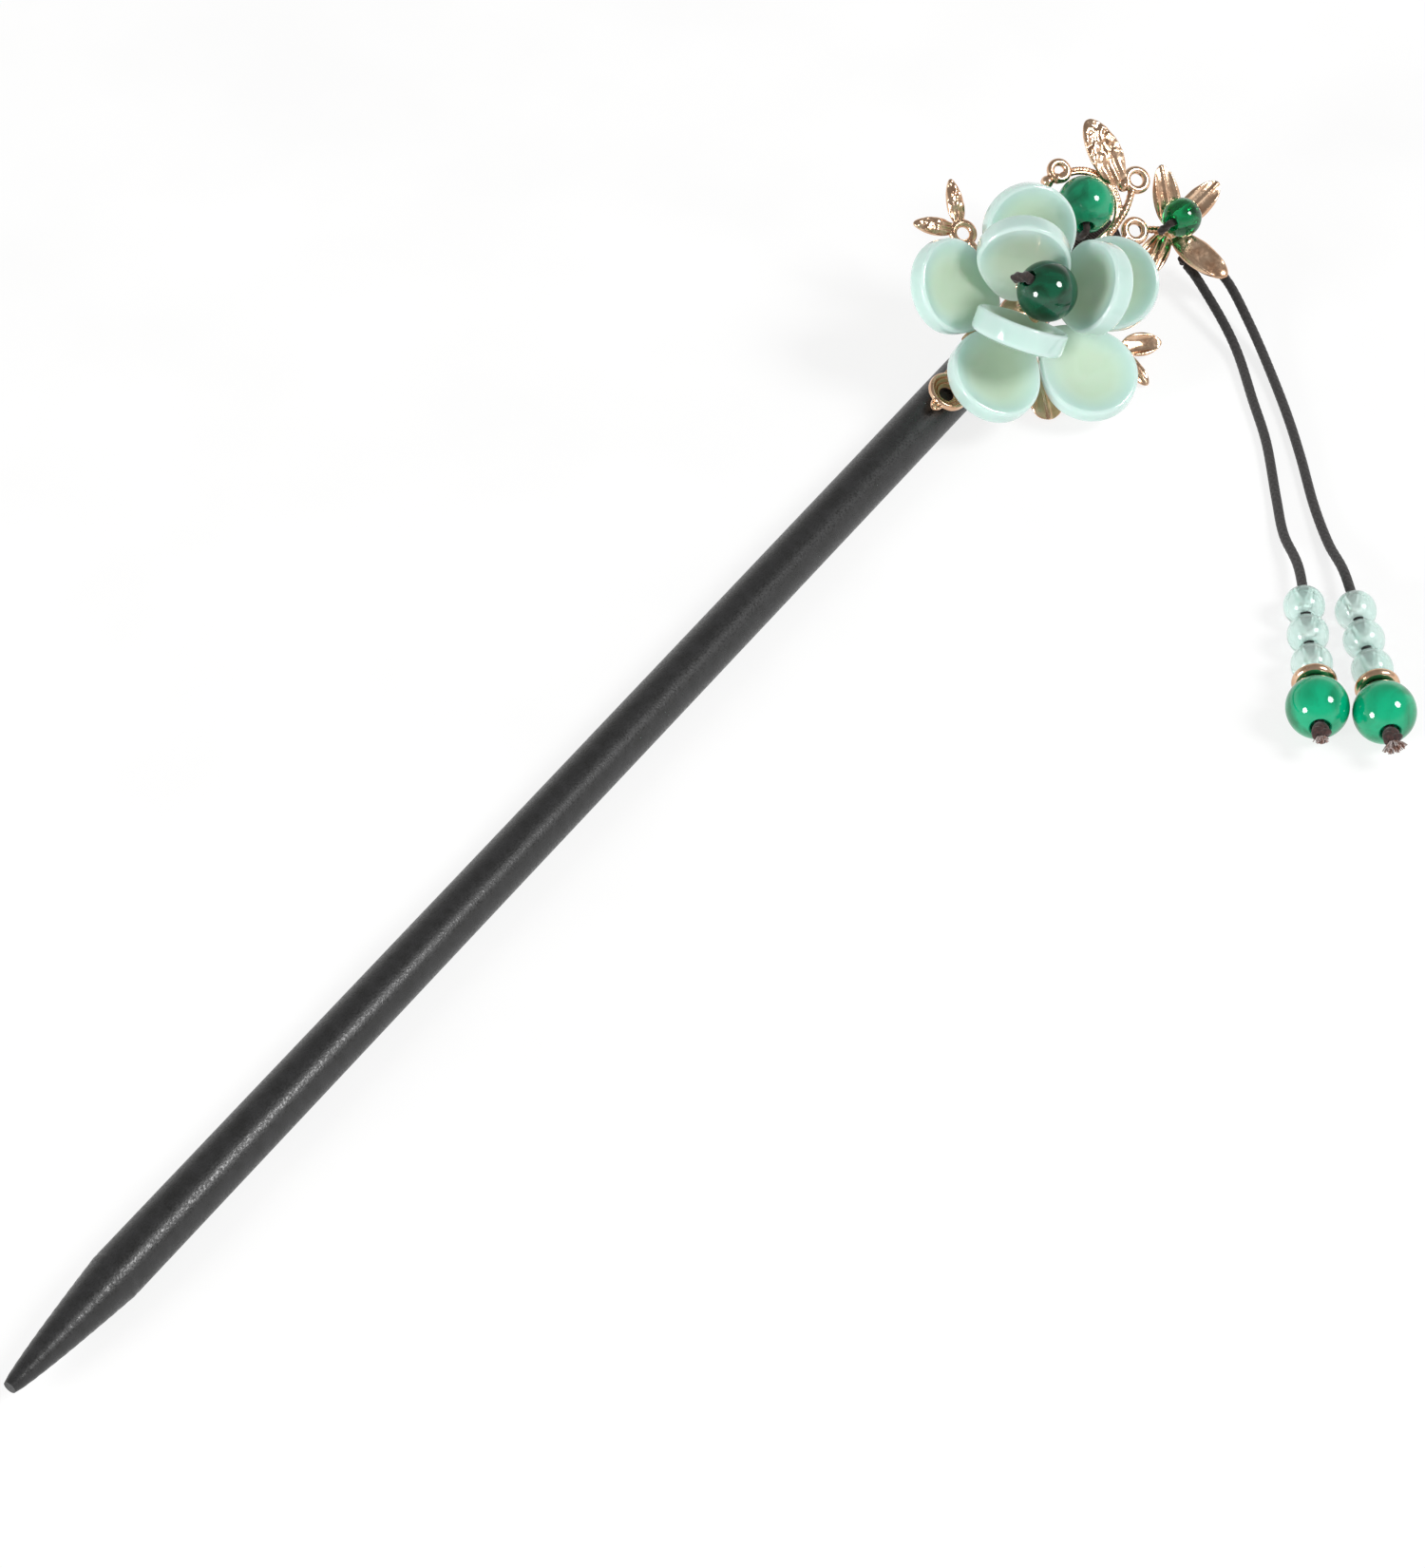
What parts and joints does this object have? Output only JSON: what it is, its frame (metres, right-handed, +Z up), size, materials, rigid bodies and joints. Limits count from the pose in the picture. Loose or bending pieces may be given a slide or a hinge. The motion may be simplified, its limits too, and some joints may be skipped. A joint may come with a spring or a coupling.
{
  "type": "hair pin",
  "caption": "Round hair stick with a blunt point, a pressed-glass flower and cast sprigs tied on behind its head, and two short beaded cord tassels.",
  "frame": {"origin": "on the plane the pin lies on, under the middle of the stick, flower and sprigs taken together; the tassels aren't counted", "axes": "+X along the stick towards the flower end, +Z up from the plane the pin lies on, and the tassels lie on the -Y side"},
  "size_m": [0.1802, 0.0707, 0.0187],
  "materials": {
    "black_lacquer": "satin black lacquer",
    "rose_gold": "polished rose gold plating",
    "jade_glass": "glossy milky pressed glass",
    "green_agate": "polished",
    "dark_agate": "polished",
    "green_glass": "polished clear glass",
    "clear_glass": "polished clear glass",
    "dark_thread": "matte wound thread",
    "black_cord": "matte braid",
    "brown_knot": "matte frayed thread"
  },
  "bodies": {
    "pin": {"stick": "black_lacquer", "head_lashing": "dark_thread", "flower_mount": "rose_gold", "left_sprig": "rose_gold", "top_branch": "rose_gold", "right_cluster": "rose_gold", "lower_right_sprig": "rose_gold", "bottom_leaf": "rose_gold", "petal_outer_1": "jade_glass", "petal_outer_2": "jade_glass", "petal_outer_3": "jade_glass", "petal_outer_4": "jade_glass", "petal_outer_5": "jade_glass", "petal_inner_1": "jade_glass", "petal_inner_2": "jade_glass", "petal_inner_3": "jade_glass", "claw_cap": "rose_gold", "centre_bead": "dark_agate", "centre_bead_thread": "dark_thread", "top_bead_thread": "dark_thread", "side_bead_thread": "dark_thread"},
    "top_bead": {"top_bead": "green_agate"},
    "side_bead": {"side_bead": "green_glass"},
    "tassel_left": {"tie_knot_left": "dark_thread", "cord_left": "black_cord", "end_knot_left": "brown_knot"},
    "stack_left": {"spacer_left": "rose_gold"},
    "light_bead_left_1": {"light_bead_left_1": "clear_glass"},
    "light_bead_left_2": {"light_bead_left_2": "clear_glass"},
    "light_bead_left_3": {"light_bead_left_3": "clear_glass"},
    "drop_bead_left": {"drop_bead_left": "green_agate"},
    "tassel_right": {"tie_knot_right": "dark_thread", "cord_right": "black_cord", "end_knot_right": "brown_knot"},
    "stack_right": {"spacer_right": "rose_gold"},
    "light_bead_right_1": {"light_bead_right_1": "clear_glass"},
    "light_bead_right_2": {"light_bead_right_2": "clear_glass"},
    "light_bead_right_3": {"light_bead_right_3": "clear_glass"},
    "drop_bead_right": {"drop_bead_right": "green_agate"}
  },
  "joints": [
    {"name": "top_bead_spin", "type": "hinge", "parent": "pin", "child": "top_bead", "pos_m": [0.07748, 0.0012, 0.01137], "axis": [-0.8082, -0.5419, -0.2305], "continuous": true},
    {"name": "side_bead_spin", "type": "hinge", "parent": "pin", "child": "side_bead", "pos_m": [0.08362, -0.00657, 0.00902], "axis": [-0.9717, 0.1173, 0.205], "continuous": true},
    {"name": "tassel_left_swing", "type": "hinge", "parent": "pin", "child": "tassel_left", "pos_m": [0.08405, -0.0069, 0.0033], "axis": [0, 0, 1], "range_deg": [-20, 0]},
    {"name": "stack_left_slide", "type": "slide", "parent": "tassel_left", "child": "stack_left", "axis": [0.8309, 0.552, -0.0699], "range_m": [0, 0.003]},
    {"name": "light_bead_left_1_spin", "type": "hinge", "parent": "stack_left", "child": "light_bead_left_1", "pos_m": [0.04843, -0.04086, 0.002], "axis": [-0.8309, -0.552, 0.0699], "continuous": true},
    {"name": "light_bead_left_2_spin", "type": "hinge", "parent": "stack_left", "child": "light_bead_left_2", "pos_m": [0.04498, -0.04315, 0.00229], "axis": [-0.8309, -0.552, 0.0699], "continuous": true},
    {"name": "light_bead_left_3_spin", "type": "hinge", "parent": "stack_left", "child": "light_bead_left_3", "pos_m": [0.04154, -0.04544, 0.00258], "axis": [-0.8309, -0.552, 0.0699], "continuous": true},
    {"name": "drop_bead_left_spin", "type": "hinge", "parent": "stack_left", "child": "drop_bead_left", "pos_m": [0.03655, -0.04875, 0.003], "axis": [-0.8309, -0.552, 0.0699], "continuous": true},
    {"name": "tassel_right_swing", "type": "hinge", "parent": "pin", "child": "tassel_right", "pos_m": [0.08585, -0.0078, 0.0033], "axis": [0, 0, 1], "range_deg": [0, 25]},
    {"name": "stack_right_slide", "type": "slide", "parent": "tassel_right", "child": "stack_right", "axis": [0.7763, 0.6264, -0.0699], "range_m": [0, 0.003]},
    {"name": "light_bead_right_1_spin", "type": "hinge", "parent": "stack_right", "child": "light_bead_right_1", "pos_m": [0.05055, -0.04524, 0.002], "axis": [-0.7763, -0.6264, 0.0699], "continuous": true},
    {"name": "light_bead_right_2_spin", "type": "hinge", "parent": "stack_right", "child": "light_bead_right_2", "pos_m": [0.04733, -0.04784, 0.00229], "axis": [-0.7763, -0.6264, 0.0699], "continuous": true},
    {"name": "light_bead_right_3_spin", "type": "hinge", "parent": "stack_right", "child": "light_bead_right_3", "pos_m": [0.0441, -0.05044, 0.00258], "axis": [-0.7763, -0.6264, 0.0699], "continuous": true},
    {"name": "drop_bead_right_spin", "type": "hinge", "parent": "stack_right", "child": "drop_bead_right", "pos_m": [0.03945, -0.0542, 0.003], "axis": [-0.7763, -0.6264, 0.0699], "continuous": true}
  ]
}
